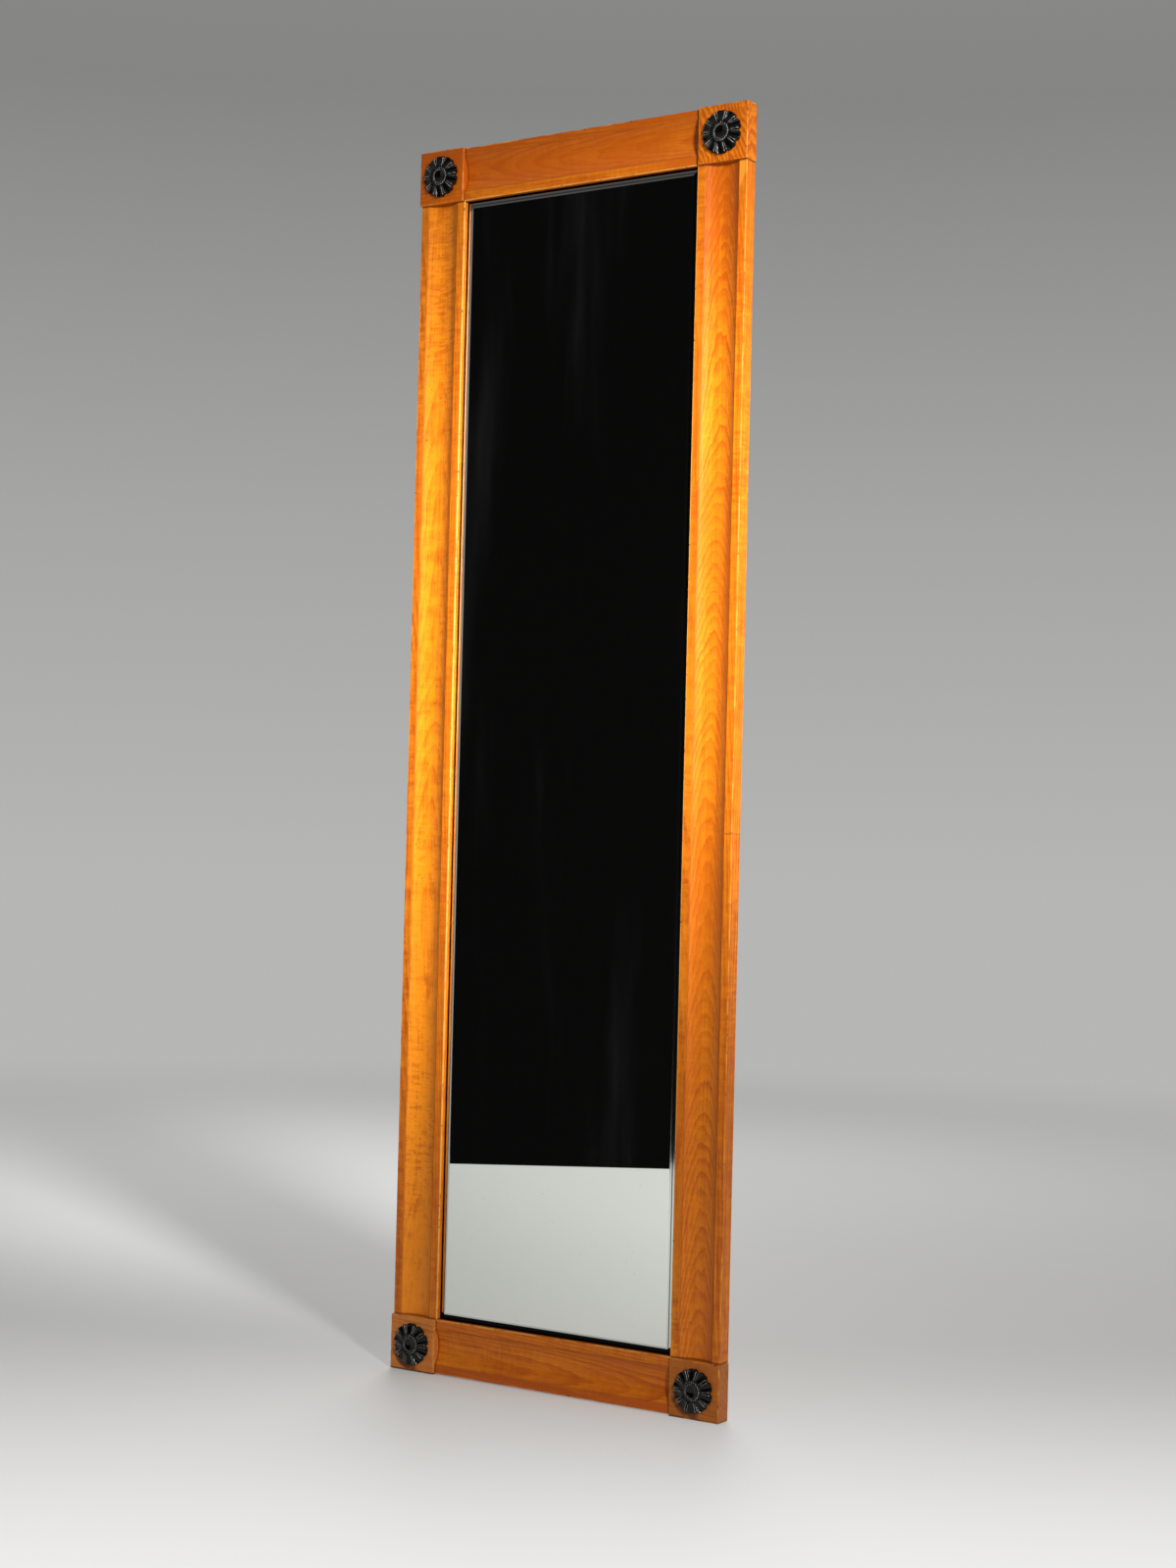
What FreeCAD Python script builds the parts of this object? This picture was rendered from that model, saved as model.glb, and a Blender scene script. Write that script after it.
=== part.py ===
import FreeCAD, Part
import math
import os

# Full-length mirror, millimetres. The glass faces -Y, +Z is up, and the origin lies on the floor
# below the middle of the frame's whole depth.

# Whole frame
frame_height = 2100.0
frame_width = 660.0

# Corner blocks
block_side = 93.0
block_thickness = 30.0
block_proud = 4.5  # how far a block stands in front of the members
block_arris = 0.8  # width of the eased edges

# Members between the blocks, from the outer edge inwards
member_inset = 2.0  # how far the members stand back from the blocks' outer faces
outer_strip_width = 14.5
sight_strip_width = 16.0
stile_reveal = 2.0  # how far a stile's inner edge stands inside its blocks' inner edges
sight_strip_thickness = 9.0
sight_arris = 1.4  # radius of the eased lip beside the glass
strip_arris = 0.6  # radius of the strips' other front edges
cove_depth = 9.5
cove_moulding_thickness = 13.0
joint_line = 0.3  # open line between a moulding's end and its block

# Rebates and tenons of the cores
glass_rebate = 9.0  # how far the lip reaches over the plate's pocket
board_ledge = 11.0  # width of the step that carries the back boards
tenon_length = 22.0
tenon_thickness = 8.0
tenon_front_shoulder = 2.0
tenon_side_shoulder = 9.5
tenon_fit = 0.1  # glue gap round a tenon
mortise_floor_gap = 1.0

# Mirror plate
plate_thickness = 5.0
plate_bevel_width = 20.0
plate_bevel_drop = 2.2
plate_edge_gap = 1.5  # play between the plate and its rebate
plate_seat_gap = 0.2  # play between the bevel and the lip

# Back boards and glazing strips
board_thickness = 7.0
board_edge_gap = 1.0
board_count = 3
board_lap = 9.0
board_lap_gap = 0.4
glazing_strip_width = 10.0
glazing_strip_gap = 0.3

# Cut nails of the back boards, and the way they are spread
board_nail_side = 2.4
board_nail_length = 15.5
board_nail_head_side = 6.0
board_nail_head_height = 1.6
board_nail_inset = 6.5  # from the board's edge to the row of nails
board_nail_side_shares = (0.1, 0.5, 0.9)  # along a board's height
board_nail_end_shares = (0.25, 0.75)  # along the top and bottom edges
nail_fit = 0.15  # gap round a nail in its hole

# Rosettes
rosette_petals = 10
petal_tip_radius = 35.5
petal_tip_width = 7.0
petal_shoulder_radius = 33.8
petal_shoulder_width = 12.4
petal_notch_radius = 29.5
petal_rim_height = 5.4
petal_crest_radius = 27.5
petal_crest_height = 8.6
petal_root_height = 7.4
petal_groove_width = 4.6
petal_groove_depth = 4.2
petal_groove_root_depth = 1.2
petal_flute_radius = 6.6
petal_flute_start = 17.2  # radius at which a gouge starts to cut
petal_flute_floor = 4.2  # height of its floor at the petal's tip
collar_scallops = 20
collar_outer_radius = 15.6
collar_crown_outer_radius = 14.2
collar_crown_inner_radius = 12.2
collar_inner_radius = 10.4
collar_height = 9.8
collar_root_height = 7.6
dish_floor_radius = 4.8
dish_floor_height = 4.6
spigot_diameter = 14.0
spigot_length = 11.0
spigot_fit = 0.2
spigot_floor_gap = 1.0

# Hangers
hanger_drop = 420.0  # from the frame's top to the eye's axis
strap_width = 20.0
strap_length = 60.0  # below the eye's axis
strap_thickness = 2.0
strap_nail_places = (38.0, 51.0)  # below the eye's axis
strap_nail_side = 3.0
strap_nail_length = 14.0
strap_nail_head_side = 7.5
strap_nail_head_height = 2.2
ring_thickness = 3.0
ring_bar_height = 3.4
ring_play = 0.5  # gap round the bar's corners in the eye
ring_inner_width = 28.0
ring_side_width = 4.0
ring_straight_side = 12.0  # from the bar's middle to the round end
ring_corner_radius = 2.5

cut_overrun = 1.0  # how far a cutting shape passes the face it cuts

Vec = FreeCAD.Vector
up = Vec(0, 0, 1)
across = Vec(1, 0, 0)
backwards = Vec(0, 1, 0)

# Coves fill what the strips leave: a rail's inner edge is flush with its blocks
rail_cove_width = block_side - member_inset - outer_strip_width - sight_strip_width
stile_cove_width = rail_cove_width + stile_reveal

# Depths, from the front of the rosettes to the back of the rings
member_thickness = block_thickness - block_proud
eye_bore_radius = math.hypot(ring_thickness, ring_bar_height) / 2 + ring_play
eye_radius = eye_bore_radius + strap_thickness
rosette_height = collar_height
whole_depth = rosette_height + block_thickness + 2 * eye_radius
block_front = rosette_height - whole_depth / 2
member_front = block_front + block_proud
back_plane = block_front + block_thickness

# Heights inside a member's section, measured back from its front
board_face = member_thickness - board_thickness
plate_overlap = glass_rebate - plate_edge_gap
bevel_drop_at_lip = plate_bevel_drop * (1 - plate_overlap / plate_bevel_width)
plate_front = sight_strip_thickness + plate_seat_gap - bevel_drop_at_lip
plate_back = plate_front + plate_thickness


class Member:
    # A stile or rail: a section (inwards from the outer edge, back from the front) and a length.
    def __init__(self, name, corner, inwards, along, length, cove_width):
        self.name = name
        self.corner = corner
        self.inwards = inwards
        self.along = along
        self.length = length
        self.cove_start = outer_strip_width
        self.cove_end = outer_strip_width + cove_width
        self.width = self.cove_end + sight_strip_width
        self.glass_wall = self.width - glass_rebate
        self.board_wall = self.glass_wall - board_ledge

    def at(self, inward, back, along=0):
        place = self.corner + self.inwards * inward + self.along * along
        return place + backwards * (member_front + back)

    def line(self, start, end):
        return Part.LineSegment(self.at(*start), self.at(*end)).toShape()

    def arc(self, start, middle, end):
        return Part.Arc(self.at(*start), self.at(*middle), self.at(*end)).toShape()

    def run(self, edges, end_gap):
        section = Part.Face(Part.Wire(edges))
        section.translate(self.along * end_gap)
        return section.extrude(self.along * (self.length - 2 * end_gap))

    def box(self, inward_span, back_span, along_span):
        corners = [self.at(inward_span[0], back_span[0], along_span[0])]
        corners.append(self.at(inward_span[1], back_span[0], along_span[0]))
        corners.append(self.at(inward_span[1], back_span[1], along_span[0]))
        corners.append(self.at(inward_span[0], back_span[1], along_span[0]))
        return flat_face(corners).extrude(self.along * (along_span[1] - along_span[0]))


stile_length = frame_height - 2 * block_side
rail_length = frame_width - 2 * block_side
half_width = frame_width / 2
outer_x = half_width - member_inset
members = [
    Member("left_stile", Vec(-outer_x, 0, block_side), across, up, stile_length, stile_cove_width),
    Member("right_stile", Vec(outer_x, 0, block_side), -across, up, stile_length, stile_cove_width),
    Member("top_rail", Vec(block_side - half_width, 0, frame_height - member_inset), -up, across,
           rail_length, rail_cove_width),
    Member("bottom_rail", Vec(block_side - half_width, 0, member_inset), up, across,
           rail_length, rail_cove_width),
]
left_stile, right_stile, top_rail, bottom_rail = members

# Walls of the plate's pocket and of the boards' recess
pocket_half_width = outer_x - left_stile.glass_wall
pocket_bottom = member_inset + bottom_rail.glass_wall
pocket_top = frame_height - member_inset - top_rail.glass_wall
recess_half_width = outer_x - left_stile.board_wall
recess_bottom = member_inset + bottom_rail.board_wall
recess_top = frame_height - member_inset - top_rail.board_wall

arc_middle_share = 1 - math.sqrt(0.5)  # place of a quarter arc's middle, as a share of its radius


def box_between(low, high):
    size = high - low
    return Part.makeBox(size.x, size.y, size.z, low)


def plate_slab(half_span, low, high, front, back):
    # A slab in the frame's plane; front and back are measured from the members' front.
    return box_between(Vec(-half_span, member_front + front, low), Vec(half_span, member_front + back, high))


def flat_face(corners):
    return Part.Face(Part.makePolygon(corners + corners[:1]))


def flat_solid(ring, far_ring):
    # A solid with flat faces between two rings of corners, or between a ring and a point.
    faces = [flat_face(ring)]
    if len(far_ring) > 1:
        faces.append(flat_face(far_ring))
    for index, corner in enumerate(ring):
        following = (index + 1) % len(ring)
        far = [far_ring[0]]
        if len(far_ring) > 1:
            far = [far_ring[following], far_ring[index]]
        faces.append(flat_face([corner, ring[following]] + far))
    solid = Part.Solid(Part.Shell(faces))
    if solid.Volume < 0:
        solid.reverse()
    return solid


def square(middle, side):
    half = side / 2
    return [middle + Vec(-half, 0, -half), middle + Vec(half, 0, -half),
            middle + Vec(half, 0, half), middle + Vec(-half, 0, half)]


def nail_hole(seat, side, length):
    return flat_face(square(seat, side + 2 * nail_fit)).extrude(-backwards * (length + nail_fit))


def nail_solid(seat, side, length, head_side, head_height):
    # A square cut nail driven forwards from the back, with a low four-sided head.
    point_height = side
    neck = seat - backwards * (length - point_height)
    shank = flat_face(square(seat, side)).extrude(neck - seat)
    point = flat_solid(square(neck, side), [neck - backwards * point_height])
    head = flat_solid(square(seat, head_side), [seat + backwards * head_height])
    return shank.fuse([point, head]).removeSplitter()


def board_nail_seats():
    # Nails along the sides of each board, and along the top and bottom edges.
    nail_x = recess_half_width - board_edge_gap - board_nail_inset
    seats = []
    for low, high in board_spans():
        for share in board_nail_side_shares:
            height = low + (high - low) * share
            seats.append(Vec(-nail_x, back_plane, height))
            seats.append(Vec(nail_x, back_plane, height))
    end_inset = board_edge_gap + board_nail_inset
    for height in (recess_bottom + end_inset, recess_top - end_inset):
        for share in board_nail_end_shares:
            seats.append(Vec(recess_half_width * (2 * share - 1), back_plane, height))
    return seats


def hanger_x(side):
    # The straps lie on the middle of the core's full thickness.
    return side * (outer_x - (left_stile.cove_start + left_stile.board_wall) / 2)


eye_height = frame_height - hanger_drop
eye_depth = back_plane + eye_radius


def strap_nail_seats(side):
    return [Vec(hanger_x(side), back_plane + strap_thickness, eye_height - place)
            for place in strap_nail_places]


def nail_holes():
    holes = [nail_hole(seat, board_nail_side, board_nail_length) for seat in board_nail_seats()]
    for side in (-1, 1):
        holes += [nail_hole(seat, strap_nail_side, strap_nail_length) for seat in strap_nail_seats(side)]
    return holes


def drilled(solid):
    # The solid with the holes of the nails that reach into it.
    reach = solid.BoundBox
    holes = [hole for hole in nail_holes() if reach.intersect(hole.BoundBox)]
    return solid.cut(holes).removeSplitter()


def outer_strip(member):
    # The outer fillet, as deep as the member, with eased front edges.
    width = member.cove_start
    ease = strip_arris
    mid = ease * arc_middle_share
    edges = [
        member.line((0, member_thickness), (0, ease)),
        member.arc((0, ease), (mid, mid), (ease, 0)),
        member.line((ease, 0), (width - ease, 0)),
        member.arc((width - ease, 0), (width - mid, mid), (width, ease)),
        member.line((width, ease), (width, member_thickness)),
        member.line((width, member_thickness), (0, member_thickness)),
    ]
    return member.run(edges, joint_line)


def cove_moulding(member):
    # A flat-backed board with one wide hollow from arris to arris.
    start = member.cove_start
    end = member.cove_end
    middle = (start + end) / 2
    edges = [
        member.arc((start, 0), (middle, cove_depth), (end, 0)),
        member.line((end, 0), (end, cove_moulding_thickness)),
        member.line((end, cove_moulding_thickness), (start, cove_moulding_thickness)),
        member.line((start, cove_moulding_thickness), (start, 0)),
    ]
    return member.run(edges, joint_line)


def sight_strip(member):
    # The inner fillet, whose eased lip reaches over the plate.
    start = member.cove_end
    end = member.width
    ease = strip_arris
    mid = ease * arc_middle_share
    lip = sight_arris
    lip_mid = lip * arc_middle_share
    edges = [
        member.line((start, sight_strip_thickness), (start, ease)),
        member.arc((start, ease), (start + mid, mid), (start + ease, 0)),
        member.line((start + ease, 0), (end - lip, 0)),
        member.arc((end - lip, 0), (end - lip_mid, lip_mid), (end, lip)),
        member.line((end, lip), (end, sight_strip_thickness)),
        member.line((end, sight_strip_thickness), (start, sight_strip_thickness)),
    ]
    return member.run(edges, joint_line)


def tenon_spans(member, gap):
    inward = (member.cove_start + tenon_side_shoulder - gap, member.board_wall - tenon_side_shoulder + gap)
    front = cove_moulding_thickness + tenon_front_shoulder
    return inward, (front - gap, front + tenon_thickness + gap)


def core(member):
    # The stepped bar behind the mouldings, with a tenon at each end.
    corners = [
        (member.cove_start, cove_moulding_thickness),
        (member.cove_end, cove_moulding_thickness),
        (member.cove_end, sight_strip_thickness),
        (member.glass_wall, sight_strip_thickness),
        (member.glass_wall, board_face),
        (member.board_wall, board_face),
        (member.board_wall, member_thickness),
        (member.cove_start, member_thickness),
    ]
    edges = [member.line(start, end) for start, end in zip(corners, corners[1:] + corners[:1])]
    bar = member.run(edges, 0)
    inward, back = tenon_spans(member, 0)
    bar = bar.fuse(member.box(inward, back, (-tenon_length, member.length + tenon_length)))
    return drilled(bar)


def corner_block(side, at_top):
    # A square block with two mortises, a socket for the rosette, and the corner of the rebates.
    left = half_width - block_side if side > 0 else -half_width
    bottom = frame_height - block_side if at_top else 0
    low = Vec(left, block_front, bottom)
    block = Part.makeBox(block_side, block_thickness, block_side, low)
    eased = []
    for edge in block.Edges:
        ends = [vertex.Point.y for vertex in edge.Vertexes]
        if max(ends) - min(ends) > block_arris or max(ends) < back_plane - block_arris:
            eased.append(edge)
    block = block.makeChamfer(block_arris, eased)
    stile = right_stile if side > 0 else left_stile
    rail = top_rail if at_top else bottom_rail
    cuts = []
    depth = tenon_length + mortise_floor_gap
    for member, at_far_end in ((stile, at_top), (rail, side > 0)):
        inward, back = tenon_spans(member, tenon_fit)
        along = (-depth, cut_overrun)
        if at_far_end:
            along = (member.length - cut_overrun, member.length + depth)
        cuts.append(member.box(inward, back, along))
    pocket = plate_slab(pocket_half_width, pocket_bottom, pocket_top, sight_strip_thickness,
                        member_thickness + cut_overrun)
    recess = plate_slab(recess_half_width, recess_bottom, recess_top, board_face,
                        member_thickness + cut_overrun)
    middle = low + Vec(block_side / 2, 0, block_side / 2)
    socket_depth = spigot_length + spigot_floor_gap
    socket = Part.makeCylinder(spigot_diameter / 2 + spigot_fit, socket_depth + cut_overrun,
                               middle - backwards * cut_overrun, backwards)
    return block.cut(cuts + [pocket, recess, socket]).removeSplitter()


def polar(radius, angle, height=0):
    return Vec(radius * math.cos(angle), radius * math.sin(angle), height)


def petal_outline():
    # The rosette's edge, one blunt tip per petal, as a prism through its whole height.
    step = 2 * math.pi / rosette_petals
    corners = []
    for index in range(rosette_petals):
        angle = math.pi / 2 + index * step
        sideways = polar(1, angle + math.pi / 2)
        shoulder = polar(petal_shoulder_radius, angle)
        tip = polar(petal_tip_radius, angle)
        corners.append(polar(petal_notch_radius, angle - step / 2))
        corners.append(shoulder - sideways * (petal_shoulder_width / 2))
        corners.append(tip - sideways * (petal_tip_width / 2))
        corners.append(tip + sideways * (petal_tip_width / 2))
        corners.append(shoulder + sideways * (petal_shoulder_width / 2))
    return flat_face(corners).extrude(up * rosette_height)


def even_ring(count, radius, height):
    # Corners spread evenly round the axis, with the middle of a side pointing up the frame.
    step = 2 * math.pi / count
    start = math.pi / 2 - step / 2
    return [polar(radius, start + step * index, height) for index in range(count)]


def petal_ring(flat_radius, height):
    return even_ring(rosette_petals, flat_radius / math.cos(math.pi / rosette_petals), height)


def collar_ring(radius, height):
    return even_ring(collar_scallops, radius, height)


def rosette_body():
    # The blank before its petals are carved: a slope up from the rim, and a fall to the collar.
    rim = petal_ring(petal_tip_radius, petal_rim_height)
    crest = petal_ring(petal_crest_radius, petal_crest_height)
    root = petal_ring(collar_crown_outer_radius, petal_root_height)
    base = flat_face(petal_ring(petal_tip_radius, 0)).extrude(up * petal_rim_height)
    blank = base.fuse(flat_solid(rim, crest)).cut(flat_solid(crest, root))
    return blank.common(petal_outline())


def collar_body():
    return flat_solid(collar_ring(collar_outer_radius, petal_root_height - petal_groove_root_depth),
                      collar_ring(collar_crown_outer_radius, collar_height))


def collar_hollows():
    # The inner slope of the collar, and the dish below it.
    rim = collar_ring(collar_inner_radius, collar_root_height)
    return [flat_solid(collar_ring(collar_crown_inner_radius, collar_height), rim),
            flat_solid(rim, collar_ring(dish_floor_radius, dish_floor_height))]


def groove_cutter(angle):
    # A V-groove between two petals that deepens from the collar to the rim.
    radial = polar(1, angle)
    sideways = polar(1, angle + math.pi / 2)
    low_end = radial * (petal_tip_radius + cut_overrun) + up * (petal_rim_height - petal_groove_depth)
    high_end = radial * collar_inner_radius + up * (petal_root_height - petal_groove_root_depth)
    slope = (petal_groove_width / 2) / petal_groove_depth
    rise = petal_crest_height + cut_overrun - low_end.z
    section = [low_end, low_end + sideways * (rise * slope) + up * rise,
               low_end - sideways * (rise * slope) + up * rise]
    return flat_face(section).extrude(high_end - low_end)


def flute_cutter(angle):
    # A gouge's path along a petal: it falls from the petal's root and runs out at the tip.
    radial = polar(1, angle)
    start = radial * petal_flute_start + up * petal_root_height
    end = radial * petal_tip_radius + up * petal_flute_floor
    path = end - start
    path.normalize()
    square_to_path = path.cross(radial.cross(up))
    lift = square_to_path * petal_flute_radius
    if lift.z < 0:
        lift = -lift
    length = (end - start).Length + 2 * cut_overrun
    return Part.makeCylinder(petal_flute_radius, length, start + lift - path * cut_overrun, path)


def rosette():
    # Carved flat on its back, then stood up facing forwards.
    step = 2 * math.pi / rosette_petals
    cuts = []
    for index in range(rosette_petals):
        middle = math.pi / 2 + index * step
        cuts.append(flute_cutter(middle))
        cuts.append(groove_cutter(middle + step / 2))
    spigot = Part.makeCylinder(spigot_diameter / 2, spigot_length, Vec(0, 0, 0), -up)
    carved = rosette_body().cut(cuts).fuse([collar_body(), spigot])
    carved = carved.cut(collar_hollows()).removeSplitter()
    carved.rotate(Vec(0, 0, 0), across, 90)
    return carved


def mirror_plate():
    # The silvered plate, with a flat bevel ground along all four edges.
    half = pocket_half_width - plate_edge_gap
    low = pocket_bottom + plate_edge_gap
    high = pocket_top - plate_edge_gap
    rims = []
    for inset, depth in ((plate_bevel_width, plate_front), (0, plate_front + plate_bevel_drop)):
        y = member_front + depth
        rims.append([Vec(-half + inset, y, low + inset), Vec(half - inset, y, low + inset),
                     Vec(half - inset, y, high - inset), Vec(-half + inset, y, high - inset)])
    bevel = flat_solid(rims[0], rims[1])
    slab = plate_slab(half, low, high, plate_front + plate_bevel_drop, plate_back)
    return slab.fuse(bevel).removeSplitter()


def glazing_strip(member, end_gap):
    start = member.glass_wall + glazing_strip_gap
    return member.box((start, start + glazing_strip_width), (plate_back, board_face),
                      (end_gap, member.length - end_gap))


def board_spans():
    # Visible lower and upper edges of each board; the laps reach past them.
    low = recess_bottom + board_edge_gap
    height = (recess_top - board_edge_gap - low) / board_count
    return [(low + height * index, low + height * (index + 1)) for index in range(board_count)]


def back_board(index):
    # A board with a half-thickness lap under the board above it and over the one below.
    low, high = board_spans()[index]
    half = recess_half_width - board_edge_gap
    gap = board_lap_gap / 2
    bottom = low if index == 0 else low + gap
    top = high if index == board_count - 1 else high - gap
    lap_face = board_face + board_thickness / 2
    board = plate_slab(half, bottom, top, board_face, member_thickness)
    if index < board_count - 1:
        board = board.fuse(plate_slab(half, top, top + board_lap, board_face, lap_face - gap))
    if index > 0:
        board = board.cut(plate_slab(half + cut_overrun, bottom - cut_overrun, low + board_lap + gap,
                                     board_face - cut_overrun, lap_face))
    return drilled(board)


def hanger_strap(side):
    # A flat strap whose upper end is rolled into an eye, with a round lower end.
    left = hanger_x(side) - strap_width / 2

    def at(stand, height):
        return Vec(left, back_plane + stand, eye_height + height)

    roll_end = -math.sqrt(eye_radius ** 2 - (eye_radius - strap_thickness) ** 2)
    edges = [
        Part.LineSegment(at(0, -strap_length), at(0, 0)),
        Part.Arc(at(0, 0), at(2 * eye_radius, 0), at(strap_thickness, roll_end)),
        Part.LineSegment(at(strap_thickness, roll_end), at(strap_thickness, -strap_length)),
        Part.LineSegment(at(strap_thickness, -strap_length), at(0, -strap_length)),
    ]
    side_view = Part.Face(Part.Wire([edge.toShape() for edge in edges]))
    strap = side_view.extrude(across * strap_width)
    bore = Part.makeCylinder(eye_bore_radius, strap_width + 2 * cut_overrun,
                             at(eye_radius, 0) - across * cut_overrun, across)
    end_radius = strap_width / 2
    foot = Vec(hanger_x(side), back_plane - cut_overrun, eye_height - strap_length + end_radius)
    depth = 2 * (eye_radius + cut_overrun)
    outline = Part.makeCylinder(end_radius, depth, foot, backwards)
    upper = Part.makeBox(strap_width, depth, strap_length - end_radius + eye_radius + cut_overrun,
                         Vec(left, foot.y, foot.z))
    strap = strap.common(outline.fuse(upper).removeSplitter())
    return drilled(strap.cut(bore))


def ring_outline(side, half, top, corner):
    # A D lying in the frame's plane: a straight bar above, straight sides, and a half circle below.
    mid = corner * arc_middle_share

    def at(x, rise):
        return Vec(hanger_x(side) + x, eye_depth - ring_thickness / 2, eye_height + rise)

    edges = [
        Part.LineSegment(at(corner - half, top), at(half - corner, top)),
        Part.Arc(at(half - corner, top), at(half - mid, top - mid), at(half, top - corner)),
        Part.LineSegment(at(half, top - corner), at(half, -ring_straight_side)),
        Part.Arc(at(half, -ring_straight_side), at(0, -ring_straight_side - half),
                 at(-half, -ring_straight_side)),
        Part.LineSegment(at(-half, -ring_straight_side), at(-half, top - corner)),
        Part.Arc(at(-half, top - corner), at(mid - half, top - mid), at(corner - half, top)),
    ]
    return Part.Face(Part.Wire([edge.toShape() for edge in edges]))


def hanger_ring(side):
    # A flat forged ring that hangs from its straight bar in the eye.
    half_opening = ring_inner_width / 2
    half_bar = ring_bar_height / 2
    outer = ring_outline(side, half_opening + ring_side_width, half_bar, ring_corner_radius)
    opening = ring_outline(side, half_opening, -half_bar, ring_corner_radius)
    return outer.cut(opening).extrude(backwards * ring_thickness)


parts = {}
for member in members:
    parts[member.name + "_core"] = core(member)
    parts[member.name + "_cove"] = cove_moulding(member)
    parts[member.name + "_outer_strip"] = outer_strip(member)
    parts[member.name + "_sight_strip"] = sight_strip(member)

carved_rosette = rosette()
for side, side_name in ((-1, "left"), (1, "right")):
    for at_top, level_name in ((True, "top"), (False, "bottom")):
        corner_name = level_name + "_" + side_name
        parts["block_" + corner_name] = corner_block(side, at_top)
        placed = carved_rosette.copy()
        centre_height = frame_height - block_side / 2 if at_top else block_side / 2
        placed.translate(Vec(side * (half_width - block_side / 2), block_front, centre_height))
        parts["rosette_" + corner_name] = placed
    parts["hanger_strap_" + side_name] = hanger_strap(side)
    parts["hanger_ring_" + side_name] = hanger_ring(side)

parts["mirror_plate"] = mirror_plate()
stile_strip_end = member_inset + left_stile.glass_wall + glazing_strip_gap + glazing_strip_width
rail_strip_room = stile_strip_end + glazing_strip_gap - block_side
for member in members:
    upright = member in (left_stile, right_stile)
    room = 0 if upright else rail_strip_room
    parts["glazing_strip_" + member.name] = glazing_strip(member, room)
for index, name in enumerate(("lower", "middle", "upper")):
    parts["back_board_" + name] = back_board(index)
board_nails = [nail_solid(seat, board_nail_side, board_nail_length, board_nail_head_side,
                          board_nail_head_height) for seat in board_nail_seats()]
strap_nails = [nail_solid(seat, strap_nail_side, strap_nail_length, strap_nail_head_side,
                          strap_nail_head_height) for seat in strap_nail_seats(-1) + strap_nail_seats(1)]
parts["back_board_nails"] = Part.makeCompound(board_nails)
parts["hanger_nails"] = Part.makeCompound(strap_nails)

os.makedirs("parts", exist_ok=True)
for name, shape in parts.items():
    shape.exportStep(os.path.join("parts", name + ".step"))
    print(name, len(shape.Solids), shape.isValid(), round(shape.Volume, 1))
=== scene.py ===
import math
import random

import bmesh
import bpy
import numpy as np
from mathutils import Matrix, Vector


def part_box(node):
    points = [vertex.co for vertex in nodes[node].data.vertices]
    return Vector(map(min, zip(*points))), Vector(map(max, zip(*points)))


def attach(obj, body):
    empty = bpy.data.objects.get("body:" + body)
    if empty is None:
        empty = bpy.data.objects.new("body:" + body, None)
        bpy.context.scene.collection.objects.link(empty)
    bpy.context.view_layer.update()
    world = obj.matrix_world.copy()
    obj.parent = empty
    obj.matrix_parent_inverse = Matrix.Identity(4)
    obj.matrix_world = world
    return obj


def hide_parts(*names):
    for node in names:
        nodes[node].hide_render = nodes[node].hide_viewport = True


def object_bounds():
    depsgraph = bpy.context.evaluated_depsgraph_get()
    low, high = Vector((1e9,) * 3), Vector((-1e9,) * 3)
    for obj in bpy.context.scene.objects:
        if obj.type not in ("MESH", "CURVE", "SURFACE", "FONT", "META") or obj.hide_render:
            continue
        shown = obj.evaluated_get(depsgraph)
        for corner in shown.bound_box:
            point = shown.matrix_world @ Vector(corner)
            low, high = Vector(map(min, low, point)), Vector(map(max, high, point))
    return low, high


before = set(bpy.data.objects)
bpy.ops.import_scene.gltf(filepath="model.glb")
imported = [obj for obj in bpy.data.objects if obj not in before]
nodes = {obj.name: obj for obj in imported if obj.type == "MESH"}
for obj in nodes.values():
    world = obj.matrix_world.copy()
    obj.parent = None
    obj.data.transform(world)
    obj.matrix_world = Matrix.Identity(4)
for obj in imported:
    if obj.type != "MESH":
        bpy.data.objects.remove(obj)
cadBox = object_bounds()
print("frame loaded:", len(nodes), "nodes")


class Sock:  # one output socket, used in plain arithmetic
    def __init__(self, tree, socket=None):
        self.tree = tree
        self.socket = socket

    def node(self, kind, settings=None, inputs=None, out=0):
        made = self.tree.nodes.new(kind)
        for key, value in (settings or {}).items():
            if key == "stops":
                ramp = made.color_ramp.elements
                while len(ramp) < len(value):
                    ramp.new(0.5)
                for stop, (spot, colour) in zip(ramp, value):
                    stop.position = spot
                    stop.color = rgba(colour)
            else:
                setattr(made, key, value)
        for key, value in (inputs or {}).items():
            if isinstance(value, Sock):
                self.tree.links.new(value.socket, made.inputs[key])
            else:
                made.inputs[key].default_value = value
        return Sock(self.tree, made.outputs[out])

    def other(self, name):  # another output of the same node
        return Sock(self.tree, self.socket.node.outputs[name])

    def sums(self, operation, first, second=0.0):
        return self.node("ShaderNodeMath", {"operation": operation}, {0: first, 1: second})

    def least(self, other):
        return self.sums("MINIMUM", self, other)

    def most(self, other):
        return self.sums("MAXIMUM", self, other)

    def fract(self):
        return self.sums("FRACT", self)

    def __abs__(self):
        return self.sums("ABSOLUTE", self)

    def __add__(self, other):
        return self.sums("ADD", self, other)

    def __sub__(self, other):
        return self.sums("SUBTRACT", self, other)

    def __rsub__(self, other):
        return self.sums("SUBTRACT", other, self)

    def __mul__(self, other):
        return self.sums("MULTIPLY", self, other)

    def __truediv__(self, other):
        return self.sums("DIVIDE", self, other)

    def __rtruediv__(self, other):
        return self.sums("DIVIDE", other, self)

    def __pow__(self, other):
        return self.sums("POWER", self, other)

    def __rpow__(self, other):
        return self.sums("POWER", other, self)

    __radd__ = __add__
    __rmul__ = __mul__


def rgba(colour):
    return tuple(colour) + (1.0,)


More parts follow.
